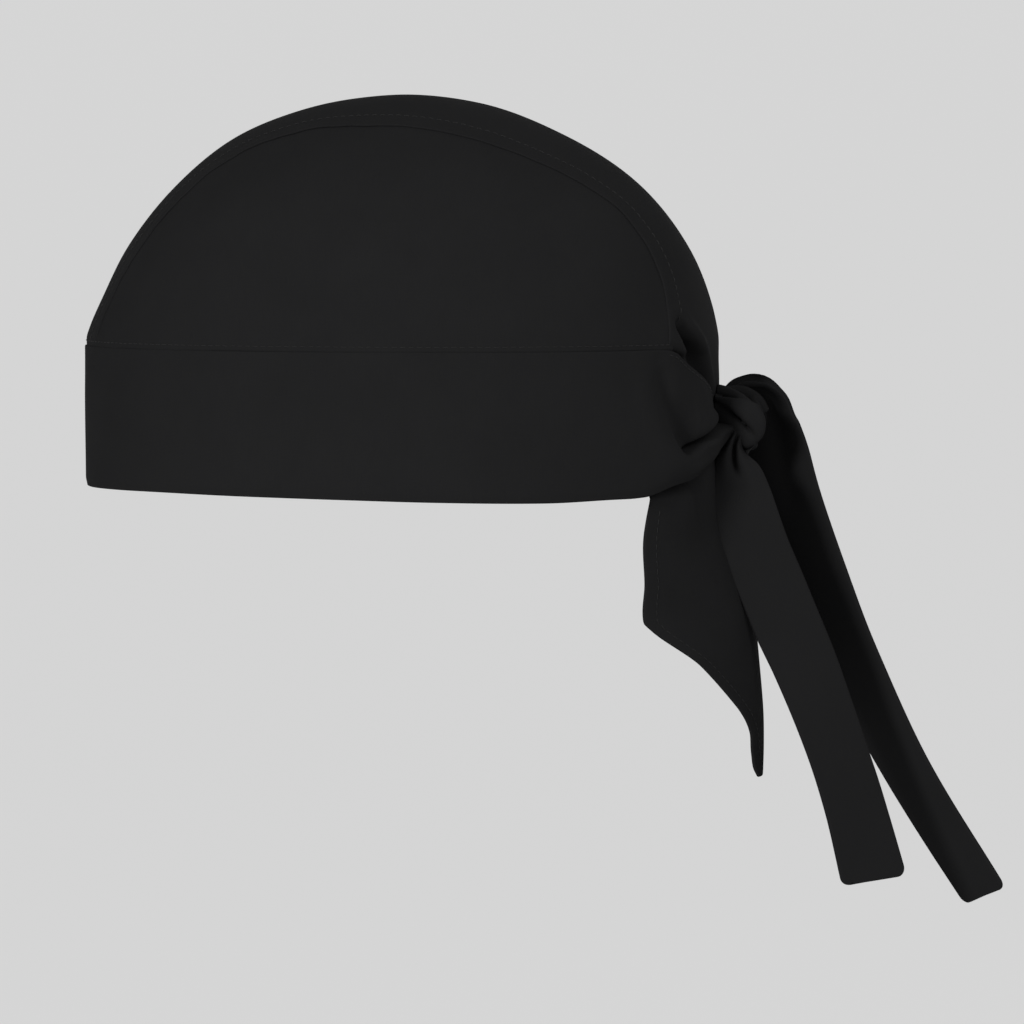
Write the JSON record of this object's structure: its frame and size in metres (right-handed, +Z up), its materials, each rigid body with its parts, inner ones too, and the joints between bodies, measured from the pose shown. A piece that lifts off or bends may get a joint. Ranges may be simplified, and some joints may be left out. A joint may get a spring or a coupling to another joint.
{
  "type": "bandana cap",
  "caption": "Close-fitting cloth cap with a folded forehead band, a three-panel crown, a pointed tail behind and the band's ends knotted over it into hanging ties.",
  "frame": {"origin": "centre of the head opening, in the plane of the rim", "axes": "+Z up through the crown, +Y towards the back of the head where the knot is, +X towards the wearer's left"},
  "size_m": [0.158, 0.2969, 0.2632],
  "materials": {
    "crown_cotton": "black plain-woven cotton, matt",
    "band_cotton": "black plain-woven cotton, folded double, matt",
    "tie_cotton": "black plain-woven cotton, folded double and pressed, matt"
  },
  "bodies": {
    "root": {"forehead_band": "band_cotton", "side_panel_left": "crown_cotton", "side_panel_right": "crown_cotton", "centre_panel": "crown_cotton", "knot": "tie_cotton", "tie_left": "tie_cotton", "tie_right": "tie_cotton"}
  },
  "joints": []
}
